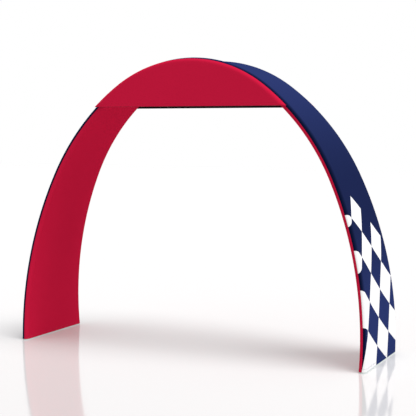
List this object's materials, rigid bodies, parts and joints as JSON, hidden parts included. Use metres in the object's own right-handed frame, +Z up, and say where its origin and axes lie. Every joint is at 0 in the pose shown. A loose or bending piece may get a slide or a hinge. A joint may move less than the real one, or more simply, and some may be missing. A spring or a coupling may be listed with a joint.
{
  "type": "archway banner stand with tension fabric sleeve on its bent tube frame",
  "caption": "Free-standing walk-through arch of stretched fabric over leaning bent tube hoops, chequered outside and plain inside, with a half-moon fabric header at front and back.",
  "frame": {"origin": "on the floor, midway between the feet in width and in depth", "axes": "+X to the right along the span, +Y towards the back through the arch, +Z up"},
  "size_m": [3.0808, 0.887, 2.3999],
  "materials": {
    "printed_navy": "knitted polyester, navy with a white chequered print",
    "red_fabric": "knitted polyester, plain crimson, slight sheen",
    "black_fabric": "knitted polyester, matt black",
    "aluminium": "plain drawn tube",
    "grey_plate": "pale grey powder coat"
  },
  "bodies": {
    "root": {"outer_band": "printed_navy", "inner_band": "red_fabric", "arch_front_leg_left": "aluminium", "arch_front_crown": "aluminium", "arch_front_leg_right": "aluminium", "header_face_front": "red_fabric", "header_backer_front": "black_fabric", "header_rail_front": "aluminium", "header_bar_front": "aluminium", "arch_back_leg_left": "aluminium", "arch_back_crown": "aluminium", "arch_back_leg_right": "aluminium", "header_face_back": "red_fabric", "header_backer_back": "black_fabric", "header_rail_back": "aluminium", "header_bar_back": "aluminium", "spreader_low_left": "aluminium", "spreader_low_right": "aluminium", "spreader_middle_left": "aluminium", "spreader_middle_right": "aluminium", "spreader_high_left": "aluminium", "spreader_high_right": "aluminium", "spreader_crown": "aluminium", "foot_plate_left": "grey_plate", "foot_plate_right": "grey_plate"}
  },
  "joints": []
}
